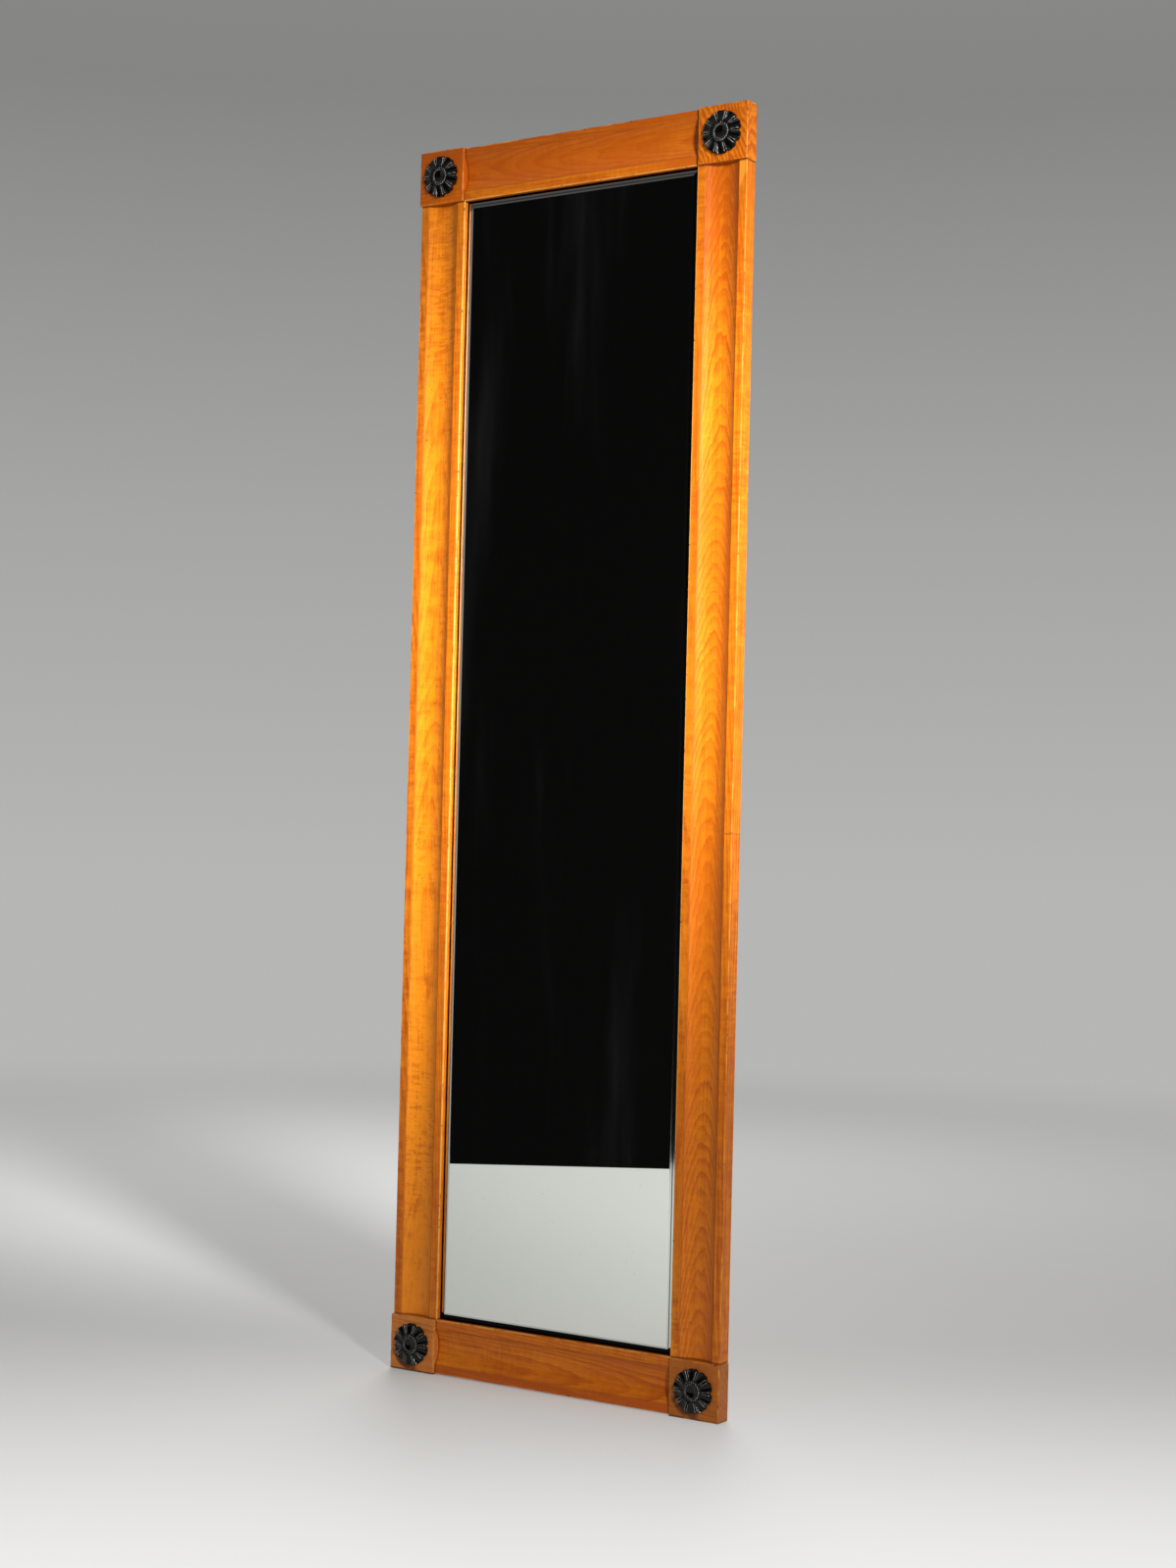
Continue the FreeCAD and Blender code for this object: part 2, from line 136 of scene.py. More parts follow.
def mixed(factor, first, second):  # colours through a Mix node
    first = first if isinstance(first, Sock) else rgba(first)
    second = second if isinstance(second, Sock) else rgba(second)
    return factor.node("ShaderNodeMix", {"data_type": "RGBA", "blend_type": "MIX", "clamp_factor": True},
                       {0: factor, 6: first, 7: second}, 2)


def ease(value, low, high):  # soft step from low to high, falling where low is the larger
    return value.node("ShaderNodeMapRange", {"interpolation_type": "SMOOTHSTEP"},
                      {"Value": value, "From Min": low, "From Max": high})


noiseShift = ((1.0, 0.0), (1.7, 3.1), (0.6, -2.3))  # how a seed moves the noise on each axis


def noise(spot, row, seed=0.0):  # waves are per metre, and a step makes patches of it
    start = seed + row["seed"]
    moved = spot.node("ShaderNodeVectorMath", {"operation": "MULTIPLY_ADD"},
                      {0: spot, 1: row["waves"], 2: [start * scale + shift for scale, shift in noiseShift]})
    grey = spot.node("ShaderNodeTexNoise", {}, {"Vector": moved, "Scale": 1.0,
                                                "Detail": row.get("detail", 2.0),
                                                "Roughness": row.get("rough", 0.5)})
    return ease(grey, *row["step"]) if "step" in row else grey


def split(vector):
    first = vector.node("ShaderNodeSeparateXYZ", {}, {0: vector})
    return first, first.other(1), first.other(2)


def boardPlace(place, lie):  # across the grain, through the board, along the grain
    x, depth, z = split(place)
    across, along = (x, z) if lie == "upright" else (z, x)
    return across, depth, along, place.node("ShaderNodeCombineXYZ", {}, {0: across, 1: depth, 2: along})


def newFinish(name, plain):  # plain values, for the sockets that nothing is wired to
    finish = bpy.data.materials.new(name)
    finish.use_nodes = True
    shader = finish.node_tree.nodes["Principled BSDF"]
    for socket, value in plain.items():
        shader.inputs[socket].default_value = value
    return finish, shader, Sock(finish.node_tree).node("ShaderNodeTexCoord", out="Object")


def wire(shader, name, value):
    value.tree.links.new(value.socket, shader.inputs[name])


def bump(shader, height, distance, strength):
    wire(shader, "Normal", height.node("ShaderNodeBump", {}, {"Strength": strength, "Distance": distance,
                                                              "Height": height}))


def seenRays(start):  # 1 for what the camera and the glass see
    rays = start.node("ShaderNodeLightPath")
    return rays.most(rays.other("Is Glossy Ray"))


def dress(nodeName, finish):
    slots = nodes[nodeName].data.materials
    slots.clear()
    slots.append(finish)


def linked(name, data):
    made = bpy.data.objects.new(name, data)
    bpy.context.scene.collection.objects.link(made)
    return made


def lieOf(member):
    return "upright" if "stile" in member else "level"


# Cherry: growth rings, pores, streaks and cross mottle, under a thin polish
cherryLook = {
    "plain": {"Roughness": 0.36, "Coat Weight": 0.05, "Coat Roughness": 0.16, "Specular IOR Level": 0.25},
    "tones": {
        "light": (0.85, 0.248, 0.007),
        "dark": (0.49, 0.092, 0.002),
        "red": (0.55, 0.100, 0.003),
        "pore": (0.20, 0.045, 0.005),
        "gum": (0.10, 0.028, 0.006),
        "sap": (0.88, 0.37, 0.030),
        "wornAndGlint": (0.90, 0.37, 0.050),
    },
    "grain": {  # waves across, through and along the board
        "drift": {"waves": (2.0, 0.0, 1.5), "seed": 0.0, "detail": 1.0},
        "sway": {"waves": (0.0, 0.0, 1.1), "seed": 5.0, "detail": 1.0},
        "waver": {"waves": (24.0, 24.0, 7.0), "seed": 9.0, "detail": 4.0, "rough": 0.55},
        "frayed": {"waves": (420.0, 420.0, 18.0), "seed": 45.0},
        "streak": {"waves": (150.0, 150.0, 3.2), "seed": 13.0, "detail": 4.0, "rough": 0.6},
        "hair": {"waves": (800.0, 800.0, 14.0), "seed": 17.0, "detail": 3.0, "rough": 0.65},
        "pores": {"waves": (1900.0, 1900.0, 90.0), "seed": 21.0, "detail": 1.0, "step": (0.60, 0.74)},
        "cloud": {"waves": (9.0, 9.0, 2.2), "seed": 25.0, "step": (0.35, 0.72)},
        "clumps": {"waves": (7.0, 7.0, 3.4), "seed": 29.0, "step": (0.42, 0.66)},
        "bars": {"waves": (30.0, 30.0, 150.0), "seed": 33.0, "detail": 3.0, "rough": 0.6},
        "blotch": {"waves": (34.0, 34.0, 42.0), "seed": 35.0, "detail": 3.0, "rough": 0.6},
        "gum": {"waves": (230.0, 230.0, 120.0), "seed": 37.0, "detail": 1.0, "step": (0.735, 0.79)},
        "flecks": {"waves": (75.0, 75.0, 320.0), "seed": 61.0, "step": (0.57, 0.69)},
        "hand": {"waves": (14.0, 14.0, 7.0), "seed": 41.0, "detail": 3.0},
        "rubbedAndGlint": {"waves": (55.0, 55.0, 28.0), "seed": 49.0, "detail": 3.0},
        "nicks": {"waves": (190.0, 190.0, 150.0), "seed": 53.0, "detail": 1.0, "step": (0.665, 0.715)},
        "darkPatch": {"waves": (75.0, 75.0, 60.0), "seed": 57.0, "detail": 3.0, "step": (0.28, 0.46)},
    },
    "rings": {"fray": 0.0016, "curve": 2.0, "edge": (1.0, 0.80), "least": 0.45, "yearly": 0.75,
              "lines": 3.0, "lineEdge": (1.0, 0.6), "lineShow": 0.22},
    "show": {"rings": 1.25, "streak": 1.15, "hair": 1.10, "mottle": 3.4, "blotch": 0.6, "clumpLeast": 0.25,
             "clump": 0.75, "pores": 0.45},
    "rough": {"least": 0.30, "hand": 0.14, "pores": 0.10, "rubbedAndGlint": 0.14, "nicks": 0.20},
    "relief": {"pores": 0.5, "late": 0.22, "mottle": 0.8, "hand": 0.8, "high": 0.00022, "strength": 0.5},
    "marks": {  # a reach goes from where the mark ends to where it is full, in metres
        "sap": {"wide": 0.012, "front": (-0.0080, -0.0098), "ragged": 0.03, "slope": 1.6, "show": 0.6},
        "scarf": {"reach": (0.0018, 0.0006), "show": 0.5},
        "dirtAndShade": {"reach": (0.0030, 0.0004)},
        "darkPatch": {"round": (0.0475, 0.0420), "below": (-0.008, -0.018), "aside": (0.014, 0.002),
                  "front": (0.0040, 0.0020)},
        "seamDirtAndShade": {"reach": (0.0034, 0.0008), "show": 0.65},
        "foot": {"reach": (0.0045, 0.0012), "show": 0.85},
        "rubbedAndGlint": {"reach": (0.0030, 0.0008)},
        "nicks": {"reach": (0.0042, 0.0012), "show": 0.85},
    },
}


def faceGaps(place, box):  # second smallest of the three distances to a block's faces
    gaps = []
    for value, low, high in zip(split(place), *box):
        gaps.append((high - low) / 2 - abs(value - (low + high) / 2))
    return gaps[0].least(gaps[1]).most(gaps[0].most(gaps[1]).least(gaps[2]))


def darkPatched(place, box):  # darker patch on a block, below its rosette and to the left
    darkPatch = cherryLook["marks"]["darkPatch"]
    middle = [(low + high) / 2 for low, high in zip(*box)]
    front = box[0][1]
    x, depth, z = split(place)
    aside, below = x - middle[0], z - middle[2]
    mask = ease((aside * aside + below * below) ** 0.5, *darkPatch["round"])
    mask = mask * ease(below, *darkPatch["below"]) * ease(aside, *darkPatch["aside"])
    return mask * ease(depth, front + darkPatch["front"][0], front + darkPatch["front"][1])


def cherry(name, look):
    finish, shader, place = newFinish(name, cherryLook["plain"])
    across, depth, along, spot = boardPlace(place, look["lie"])
    tones = dict(cherryLook["tones"], **look.get("tones", {}))
    ringCut, show, marks = cherryLook["rings"], cherryLook["show"], cherryLook["marks"]
    matt, relief = cherryLook["rough"], cherryLook["relief"]

    def grain(key):
        return noise(spot, cherryLook["grain"][key], look["seed"])

    # rings make arches where the board leaves them at a slope
    off = across - look["heart"] - (grain("sway") - 0.5) * look["sway"]
    rise = along * look["climb"] + (grain("drift") - 0.5) * look["drift"]
    rise = rise + (grain("waver") - 0.5) * look["waver"] + (grain("frayed") - 0.5) * ringCut["fray"]
    bowed = off * look["lean"] + off * off * look["bow"]
    rings = (rise + bowed - depth * look["cut"]) / look["ring"]
    inRing = rings.fract()
    year = rings.node("ShaderNodeTexWhiteNoise", {"noise_dimensions": "1D"},
                      {"W": rings.sums("FLOOR", rings)})
    late = inRing ** ringCut["curve"] * ease(inRing, *ringCut["edge"])
    late = late * (ringCut["least"] + year * ringCut["yearly"])
    inner = (rings * ringCut["lines"]).fract()  # faint lines within one ring
    late = late + inner * ease(inner, *ringCut["lineEdge"]) * ringCut["lineShow"]

    streak = grain("streak") - 0.5
    pores = grain("pores")
    clumped = show["clumpLeast"] + grain("clumps") * show["clump"]
    mottle = (grain("bars") - 0.5) * clumped + (grain("blotch") - 0.5) * show["blotch"]
    mottle = mottle * look["mottle"]
    tone = late * look["ringShow"] * show["rings"] + streak * show["streak"]
    tone = tone + (grain("hair") - 0.5) * show["hair"] + look["deep"] - mottle * show["mottle"]
    if "change" in look:  # tone shifts towards one end of the board: painted light on the left stile's lower end, and the right stile darker towards its top
        start, end, amount = look["change"]
        tone = tone + ease(along, start, end) * amount
    colour = mixed(tone, tones["light"], tones["dark"])
    colour = mixed(grain("cloud") * look["redness"], colour, tones["red"])
    colour = mixed(grain("flecks") * clumped * look["fleck"], colour, tones["dark"])
    colour = mixed(pores * show["pores"], colour, tones["pore"])
    colour = mixed(grain("gum") * look["gum"], colour, tones["gum"])

    if "sapFrom" in look:  # pale sapwood at one end, and a scarf joint lower down
        sap, joint = marks["sap"], marks["scarf"]
        wedge = along + streak * sap["ragged"] - (across - look["heart"]) * sap["slope"]
        pale = ease(wedge, look["sapFrom"], look["sapFrom"] + sap["wide"]) * ease(depth, *sap["front"])
        colour = mixed(pale * sap["show"], colour, tones["sap"])
        scarf = ease(abs(along - look["scarf"]), *joint["reach"])
        colour = mixed(scarf * joint["show"], colour, tones["pore"])
    for line in look.get("dirtAndShadeAt", ()):  # dark line where the cove meets the strips: dirt in the joint and painted shade in the crease
        dirtAndShade = ease(abs(across - line), *marks["dirtAndShade"]["reach"])
        colour = mixed(dirtAndShade * look["dirtAndShade"], colour, tones["pore"])
    if "darkPatch" in look:
        colour = mixed(darkPatched(place, look["box"]) * grain("darkPatch") * look["darkPatch"], colour, tones["gum"])
    if "ends" in look:  # dark seams where a member meets the blocks: dirt in the joint and painted shade where the proud blocks overhang
        fromEnd = (along - look["ends"][0]).least(look["ends"][1] - along)
        seamDirtAndShade = ease(fromEnd, *marks["seamDirtAndShade"]["reach"])
        colour = mixed(seamDirtAndShade * marks["seamDirtAndShade"]["show"], colour, tones["gum"])
    if "foot" in look:  # darker along the edge that stands on the floor: grime and painted contact shadow
        start, full = marks["foot"]["reach"]
        grime = ease(split(place)[2], look["foot"] + start, look["foot"] + full)
        colour = mixed(grime * marks["foot"]["show"], colour, tones["gum"])

    hand = grain("hand")
    rough = matt["least"] + hand * matt["hand"] + pores * matt["pores"]
    reach = None
    if "arris" in look:
        sideways, inward = across - look["arris"][0], depth - look["arris"][1]
        reach = (sideways * sideways + inward * inward) ** 0.5
    if "box" in look:
        reach = faceGaps(place, look["box"])
    if reach:  # polish rubbed thin along the edges, with a few dark nicks; on the sight strips the paler edge line is also a painted highlight
        rubbedAndGlint = ease(reach, *marks["rubbedAndGlint"]["reach"]) * ease(grain("rubbedAndGlint"), *look["wearAndGlintFrom"])
        nicks = ease(reach, *marks["nicks"]["reach"]) * grain("nicks")
        colour = mixed(rubbedAndGlint * look["wearAndGlint"], colour, tones["wornAndGlint"])
        colour = mixed(nicks * marks["nicks"]["show"], colour, tones["gum"])
        rough = rough + rubbedAndGlint * matt["rubbedAndGlint"] + nicks * matt["nicks"]
    wire(shader, "Base Color", colour)
    wire(shader, "Roughness", rough)
    height = pores * -relief["pores"] - late * relief["late"] + mottle * relief["mottle"]
    bump(shader, height + hand * relief["hand"], relief["high"], relief["strength"])
    return finish


coveWoods = {
    "left_stile": {
        "heart": -0.2755, "climb": 0.045, "drift": 0.060, "sway": 0.030, "lean": 0.0, "bow": 3.0, "cut": 0.65,
        "waver": 0.0080, "ring": 0.0050, "ringShow": 0.42, "mottle": 0.70, "gum": 0.9, "fleck": 0.45,
        # painted light: the left stile is paler towards its lower end
        "redness": 0.18, "deep": 0.10, "change": (1.00, 0.40, -0.25), "dirtAndShade": 0.50, "seed": 3.0,
        "tones": {"light": (0.90, 0.275, 0.009)}},
    "right_stile": {
        "heart": 0.2820, "climb": 0.150, "drift": 0.060, "sway": 0.022, "lean": 0.0, "bow": 6.0, "cut": 0.9,
        "waver": 0.0120, "ring": 0.0042, "ringShow": 0.70, "mottle": 0.34, "gum": 0.2, "fleck": 0.15,
        "redness": 0.50, "deep": 0.22, "change": (1.62, 1.95, 0.55), "dirtAndShade": 0.45, "seed": 11.0},
    "top_rail": {
        "heart": 2.060, "climb": -0.050, "drift": 0.040, "sway": 0.030, "lean": 0.0, "bow": 5.0, "cut": 0.8,
        "waver": 0.0090, "ring": 0.0044, "ringShow": 0.80, "mottle": 0.30, "gum": 0.2, "fleck": 0.15,
        "redness": 0.80, "deep": 0.45, "dirtAndShade": 0.22, "seed": 19.0},
    "bottom_rail": {
        "heart": 0.030, "climb": 0.040, "drift": 0.050, "sway": 0.030, "lean": 0.25, "bow": 4.0, "cut": 0.7,
        "waver": 0.0090, "ring": 0.0056, "ringShow": 0.70, "mottle": 0.30, "gum": 0.15, "fleck": 0.15,
        "redness": 0.72, "deep": 0.26, "dirtAndShade": 0.28, "seed": 27.0},
}
axesOf = {"upright": (0, 2), "level": (2, 0)}  # across and along the grain
for member, woods in coveWoods.items():
    low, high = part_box(member + "_cove")
    across, along = axesOf[lieOf(member)]
    look = dict(woods, lie=lieOf(member), dirtAndShadeAt=(low[across], high[across]), ends=(low[along], high[along]))
    dress(member + "_cove", cherry("cherryCove." + member, look))

stripLook = {
    "all": {"climb": 0.020, "drift": 0.030, "sway": 0.012, "lean": 0.35, "bow": 2.0, "cut": 0.5,
            "waver": 0.0040, "ring": 0.0034, "ringShow": 0.60, "mottle": 0.65, "gum": 0.25, "fleck": 0.30,
            "redness": 0.45, "wearAndGlint": 0.60, "wearAndGlintFrom": (0.40, 0.66)},
    "rails": {"redness": 0.85, "mottle": 0.28},  # redder and plainer
    # sight strips: a paler, more even edge line, painted highlight on top of the wear
    "sight": {"wearAndGlint": 0.62, "wearAndGlintFrom": (0.26, 0.52), "tones": {"wornAndGlint": (0.94, 0.47, 0.10)}},
    "rightOuter": {"sapFrom": 1.935, "scarf": 0.93},
    "deep": {"upright": {"outer_strip": 0.34, "sight_strip": 0.22},
             "level": {"outer_strip": 0.80, "sight_strip": 0.40}},
    "hearts": {"left_stile": -0.30, "right_stile": 0.30, "top_rail": 2.07, "bottom_rail": 0.03},
    "seed": 41.0, "seedPerMember": 6.0, "seedPerStrip": 29.0,
}
frameMiddle = [(low + high) / 2 for low, high in zip(*cadBox)]
for count, (member, heart) in enumerate(stripLook["hearts"].items()):
    lie = lieOf(member)
    across, along = axesOf[lie]
    for turn, strip in enumerate(("outer_strip", "sight_strip")):
        seed = stripLook["seed"] + stripLook["seedPerMember"] * count + stripLook["seedPerStrip"] * turn
        look = dict(stripLook["all"], lie=lie, heart=heart, seed=seed, deep=stripLook["deep"][lie][strip])
        if lie == "level":
            look.update(stripLook["rails"])
        low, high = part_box(member + "_" + strip)
        sides = sorted((low[across], high[across]), key=lambda side: abs(side - frameMiddle[across]))
        look.update(arris=(sides[1] if strip == "outer_strip" else sides[0], low[1]))
        look.update(ends=(low[along], high[along]))
        if strip == "sight_strip":
            look.update(stripLook["sight"])
        if (member, strip) == ("right_stile", "outer_strip"):
            look.update(stripLook["rightOuter"])
        dress(member + "_" + strip, cherry("cherryStrip." + member + "." + strip, look))
print("coves and strips polished")

brownTones = {"light": (0.64, 0.192, 0.018), "dark": (0.35, 0.090, 0.009), "red": (0.42, 0.110, 0.012)}
# the bottom-left block's paler, greyer tones are partly a painted sheen
tanAndSheenTones = {"light": (0.82, 0.280, 0.046), "dark": (0.47, 0.138, 0.022), "red": (0.57, 0.165, 0.028)}
blockLook = {"lie": "level", "drift": 0.016, "sway": 0.010, "lean": 0.0, "bow": 4.0, "cut": 0.4, "gum": 0.1,
             "fleck": 0.15, "mottle": 0.30, "waver": 0.006, "wearAndGlint": 0.60, "wearAndGlintFrom": (0.40, 0.66)}
blockWoods = {
    "top_left": {"heart": 2.10, "climb": 0.05, "ring": 0.0046, "ringShow": 0.45, "redness": 1.0, "deep": 0.70,
                 "seed": 61.0},
    "top_right": {"lie": "upright", "heart": 0.283, "climb": 0.34, "waver": 0.040, "ring": 0.0078,
                  "ringShow": 1.8, "lean": 1.0, "bow": 2.0, "mottle": 0.55, "redness": 0.18, "deep": 0.12,
                  "seed": 67.0},
    "bottom_left": {"heart": 0.00, "climb": 0.06, "ring": 0.0050, "ringShow": 0.60, "redness": 0.5,
                    "deep": 0.34, "darkPatch": 0.92, "tones": tanAndSheenTones, "seed": 73.0},
    "bottom_right": {"heart": 0.10, "climb": -0.06, "ring": 0.0050, "ringShow": 0.60, "redness": 0.5,
                     "deep": 0.42, "darkPatch": 0.85, "tones": brownTones, "seed": 79.0},
}
blockEdge = {"round": 0.0016, "steps": 5, "cuts": 11, "inset": 0.00001, "dent": 0.00022, "near": 1.01,
             "weld": 1e-6, "corner": 1.0, "sharp": 32.0, "seed": 23}  # corner in radians, sharp in degrees


def easedBox(low, high, chance):  # arrises eased by hand and by use
    middle, half = (low + high) / 2, (high - low) / 2 - Vector([blockEdge["inset"]] * 3)
    shape = bmesh.new()
    bmesh.ops.create_cube(shape, size=2.0, matrix=Matrix.LocRotScale(middle, None, half))
    bmesh.ops.subdivide_edges(shape, edges=shape.edges[:], cuts=blockEdge["cuts"], use_grid_fill=True)
    arrises = [edge for edge in shape.edges
               if len(edge.link_faces) == 2 and edge.calc_face_angle() > blockEdge["corner"]]
    bmesh.ops.bevel(shape, geom=arrises, offset=blockEdge["round"], segments=blockEdge["steps"], profile=0.5,
                    affect="EDGES", clamp_overlap=True)
    flat = [side - blockEdge["round"] * blockEdge["near"] for side in half]
    for vert in shape.verts:  # small dents along the arrises alone
        off = vert.co - middle
        if sum(abs(off[axis]) > flat[axis] for axis in range(3)) >= 2:
            push = chance.uniform(0.0, blockEdge["dent"])
            vert.co -= Vector([math.copysign(push, off[axis]) for axis in range(3)])
    return shape


def placed(name, shape):
    mesh = bpy.data.meshes.new(name)
    shape.to_mesh(mesh)
    shape.free()
    return linked(name, mesh)


def cutJoinery(block, node):  # mortises, rebates and socket come from the solid block
    solid = bmesh.new()
    solid.from_mesh(node.data)
    bmesh.ops.remove_doubles(solid, verts=solid.verts[:], dist=blockEdge["weld"])
    joinery = placed("joinery", solid)
    cut = block.modifiers.new("joinery", "BOOLEAN")
    cut.operation = "INTERSECT"
    cut.solver = "EXACT"
    cut.object = joinery
    sources = bpy.context.evaluated_depsgraph_get()
    mesh = bpy.data.meshes.new_from_object(block.evaluated_get(sources))
    block.modifiers.clear()
    block.data = mesh
    bpy.data.objects.remove(joinery)
    mesh.materials.clear()
    return mesh


dents = random.Random(blockEdge["seed"])
for corner, woods in blockWoods.items():
    low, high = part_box("block_" + corner)
    look = dict(blockLook, box=(low, high))
    look.update(woods)
    if "bottom" in corner:
        look.update(foot=low.z)
    blockFinish = cherry("cherryBlock." + corner, look)
    dress("block_" + corner, blockFinish)
    block = placed("block." + corner, easedBox(low, high, dents))
    blockMesh = cutJoinery(block, nodes["block_" + corner])
    blockMesh.materials.append(blockFinish)
    blockMesh.polygons.foreach_set("material_index", [0] * len(blockMesh.polygons))
    blockMesh.shade_smooth()
    blockMesh.set_sharp_from_angle(angle=math.radians(blockEdge["sharp"]))
    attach(block, "frame")
    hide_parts("block_" + corner)
    print("block eased:", corner, len(blockMesh.polygons), "faces")


# Rosettes: carved in relief, sizes in millimetres
rosetteCut = {
    "petals": 10, "tip": 35.5, "rim": 5.4, "crestRadius": 27.5, "crest": 8.6, "root": 7.4, "soft": 0.34,
    "outlineTurn": (0.0, 5.0, 9.0, 12.0, 15.0, 18.0),  # degrees from the petal's middle
    "outlineReach": (34.9, 35.5, 35.6, 34.7, 33.1, 31.2), "outlineUneven": 0.25,
    "grooveWidth": 2.6, "grooveDepth": 3.6, "grooveRoot": 1.6,
    "fluteRadius": 7.6, "fluteStart": 18.0, "fluteFloor": 2.9, "fluteLift": 0.15, "fluteSpoon": 0.9,
    "fluteUneven": 0.25, "fluteLean": 0.012, "fluteSide": 0.985,
    "collarOuter": 15.7, "collarInner": 10.3, "collarTop": 9.8, "collarFoot": 7.2, "collarStep": 0.4,
    "beads": 20, "beadGap": 1.02, "ringHigh": 0.9, "ringSunk": 0.3, "dish": 4.4,
    "roundEdge": 0.30, "leastEdge": 0.4, "sideShare": 0.45, "backTuck": 0.1,
    "spigot": 7.0, "spigotLong": 11.0, "spigotBevel": 0.8,
    "petalWearAndGlint": 0.9, "collarWearAndGlint": 1.9, "wearAndGlintSteps": (2, 4), "backDust": -0.6,
    "stepsRound": 640, "dishRows": (0.6, 9.6, 9), "collarRows": (10.2, 16.0, 25), "petalRows": 42, "seed": 5,
}
perMetre = 1000


def softMin(first, second, width):
    blend = np.clip(0.5 + 0.5 * (second - first) / width, 0.0, 1.0)
    return second + (first - second) * blend - width * blend * (1.0 - blend)


def share(value, start, end):
    return np.clip((value - start) / (end - start), 0, 1)


def wornAndGlintRidges(cut, height, weight):  # above 0 where the carving is convex, rubs and takes a painted highlight, below 0 in the hollows
    bend = np.zeros_like(height)
    for steps in cut["wearAndGlintSteps"]:
        around = np.roll(height, steps, 1) + np.roll(height, -steps, 1) - 2 * height
        bend -= around / steps
    bend[2:-2] -= height[4:] + height[:-4] - 2 * height[2:-2]  # two rows in and out
    return np.clip(bend * weight, -1, 1)


def rosetteRings(cut, turn):  # radius, height and wear round each ring, from the dish to the spigot's end
    chance = random.Random(cut["seed"])
    step = 2 * math.pi / cut["petals"]
    which = np.floor((turn + step / 2) / step).astype(int) % cut["petals"]
    phi = (turn + step / 2) % step - step / 2  # angle from the petal's middle
    wobble = {key: np.array([chance.uniform(-1, 1) for _ in range(cut["petals"])])[which]
              for key in ("reach", "depth", "lean")}

    # outline: blunt tips, sharp notches
    edge = np.interp(np.abs(phi), np.radians(cut["outlineTurn"]), cut["outlineReach"]) - cut["outlineUneven"]
    edge = edge + cut["outlineUneven"] * wobble["reach"] * (1 - np.abs(phi) / (step / 2))
    radii = [np.full(len(turn), r) for r in np.linspace(*cut["dishRows"])]
    radii += [np.full(len(turn), r) for r in np.linspace(*cut["collarRows"])]
    start = cut["collarRows"][1]
    radii += [start + (edge - cut["roundEdge"] - start) * part
              for part in np.linspace(0, 1, cut["petalRows"] + 1)[1:]]
    r = np.array(radii)
    phiAll = np.broadcast_to(phi, r.shape)

    # crown of the petals
    up = share(r, cut["collarOuter"], cut["crestRadius"])
    out = share(r, cut["crestRadius"], cut["tip"])
    crown = cut["root"] + (cut["crest"] - cut["root"]) * np.sin(up * math.pi / 2)
    crown = crown - (cut["crest"] - cut["rim"]) * (1 - np.cos(out * math.pi / 2))
    # groove between two petals
    fromGroove = r * (step / 2 - np.abs(phiAll))
    floorHigh = cut["root"] - cut["grooveRoot"]
    floorFall = cut["rim"] - cut["grooveDepth"] - floorHigh
    groove = floorHigh + floorFall * share(r, cut["collarInner"], cut["tip"])
    groove = groove + fromGroove * 2 * cut["grooveDepth"] / cut["grooveWidth"]
    # gouge cut along the petal
    fall = (cut["root"] - cut["fluteFloor"]) / (cut["tip"] - cut["fluteStart"])
    spoon = np.sin(share(r, cut["fluteStart"], cut["tip"]) * math.pi)
    fluteFloor = cut["root"] - (r - cut["fluteStart"]) * fall - cut["fluteUneven"] * wobble["depth"]
    fluteFloor = fluteFloor + cut["fluteLift"] - cut["fluteSpoon"] * spoon
    side = np.abs(r * np.sin(phiAll - cut["fluteLean"] * wobble["lean"]))
    side = np.clip(side, 0, cut["fluteRadius"] * cut["fluteSide"])
    flute = fluteFloor + cut["fluteRadius"] - np.sqrt(cut["fluteRadius"] ** 2 - side ** 2)
    petals = softMin(softMin(crown, flute, cut["soft"]), groove, cut["soft"])

    # beaded collar and dish
    middle = (cut["collarOuter"] + cut["collarInner"]) / 2
    half = (cut["collarOuter"] - cut["collarInner"]) / 2
    pitch = 2 * math.pi / cut["beads"]
    aside = ((turn + pitch / 2) % pitch - pitch / 2) / (pitch / 2)
    offRing = (r - middle) / half
    bead = 1.0 - offRing ** 2 - (cut["beadGap"] * np.broadcast_to(aside, r.shape)) ** 2
    beads = cut["collarFoot"] + (cut["collarTop"] - cut["collarFoot"]) * np.sqrt(np.clip(bead, 0, 1))
    ring = cut["collarFoot"] + cut["ringHigh"] * np.sqrt(np.clip(1 - offRing ** 2, 0, 1)) - cut["ringSunk"]
    dish = cut["dish"] + (cut["collarFoot"] - cut["dish"]) * np.clip(r / cut["collarInner"], 0, 1) ** 2.0
    body = np.where(r < middle, dish, petals)
    body = np.where((r >= cut["collarInner"]) & (r < middle), cut["collarFoot"] - cut["collarStep"], body)
    onCollar = np.abs(offRing) < 1
    height = np.where(onCollar, np.maximum(body, np.maximum(beads, ring)), body)
    ridge = wornAndGlintRidges(cut, height, np.where(onCollar, cut["collarWearAndGlint"], cut["petalWearAndGlint"]))

    # outer edge, flat back and turned spigot
    rings = list(zip(r, height, ridge))
    plain = np.zeros(len(turn))
    rings.append((edge, np.maximum(height[-1] - cut["roundEdge"], cut["leastEdge"]), ridge[-1]))
    rings.append((edge, height[-1] * cut["sideShare"], plain))
    rings.append((edge - cut["backTuck"], plain, plain + cut["backDust"]))
    for radius, high in ((cut["spigot"], 0.0), (cut["spigot"], cut["spigotBevel"] - cut["spigotLong"]),
                         (cut["spigot"] - cut["spigotBevel"], -cut["spigotLong"])):
        rings.append((plain + radius, plain + high, plain))
    return rings


